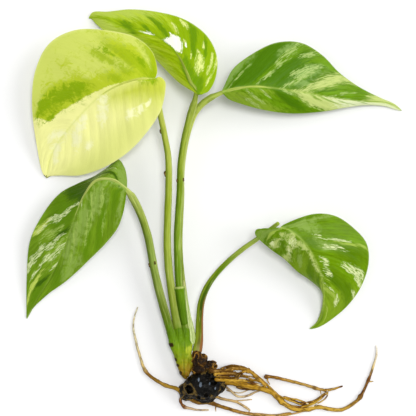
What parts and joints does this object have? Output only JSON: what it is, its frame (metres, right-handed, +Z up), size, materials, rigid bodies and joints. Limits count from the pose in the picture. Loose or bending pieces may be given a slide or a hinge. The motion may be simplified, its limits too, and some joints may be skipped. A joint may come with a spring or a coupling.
{
  "type": "monstera plantlet",
  "caption": "Bare-root plantlet lying flat: heart-shaped green and cream variegated leaves on long petioles, with a short stem, a clod of soil and thin roots.",
  "frame": {"origin": "the flat underside of the soil clod, on the surface that the plant lies on", "axes": "+Y from the roots to the leaves, +X towards the long pointed leaf, +Z up from the surface"},
  "size_m": [0.2063, 0.2233, 0.0366],
  "materials": {
    "cream_blade": "semi-gloss, cream with a chartreuse half and green mottling",
    "lime_blade": "semi-gloss, lime and mid green with white patches",
    "green_blade": "semi-gloss, mid green with cream streaks along the veins",
    "dark_blade": "semi-gloss, dark green with pale marbling",
    "marbled_blade": "semi-gloss, mid green with cream marbling round the midrib",
    "pale_stalk": "smooth, light yellow-green",
    "green_stalk": "smooth, mid green",
    "sheath_skin": "smooth, darker green with a pale rim",
    "pale_skin": "papery, whitish green",
    "stem_skin": "green to yellow-brown with brown scars",
    "brown_crown": "rough dark brown with ochre edges",
    "wet_soil": "damp black lumps with small highlights",
    "root_skin": "matt golden brown with dark mottling",
    "pale_root_skin": "matt pale straw, browner near the clod"
  },
  "bodies": {
    "root": {"cream_leaf": "cream_blade", "top_leaf": "lime_blade", "right_leaf": "green_blade", "left_leaf": "dark_blade", "lower_leaf": "marbled_blade", "cream_petiole": "pale_stalk", "top_petiole": "green_stalk", "right_petiole": "green_stalk", "left_petiole": "green_stalk", "lower_petiole": "green_stalk", "sheath": "sheath_skin", "sheath_edge": "pale_skin", "stem_base": "stem_skin", "rhizome_collar": "brown_crown", "soil_clod": "wet_soil", "thick_root": "root_skin", "upper_root": "root_skin", "loop_root": "root_skin", "bottom_root": "root_skin", "curl_root": "root_skin", "fine_root": "root_skin", "short_root": "root_skin", "long_root": "pale_root_skin"}
  },
  "joints": []
}
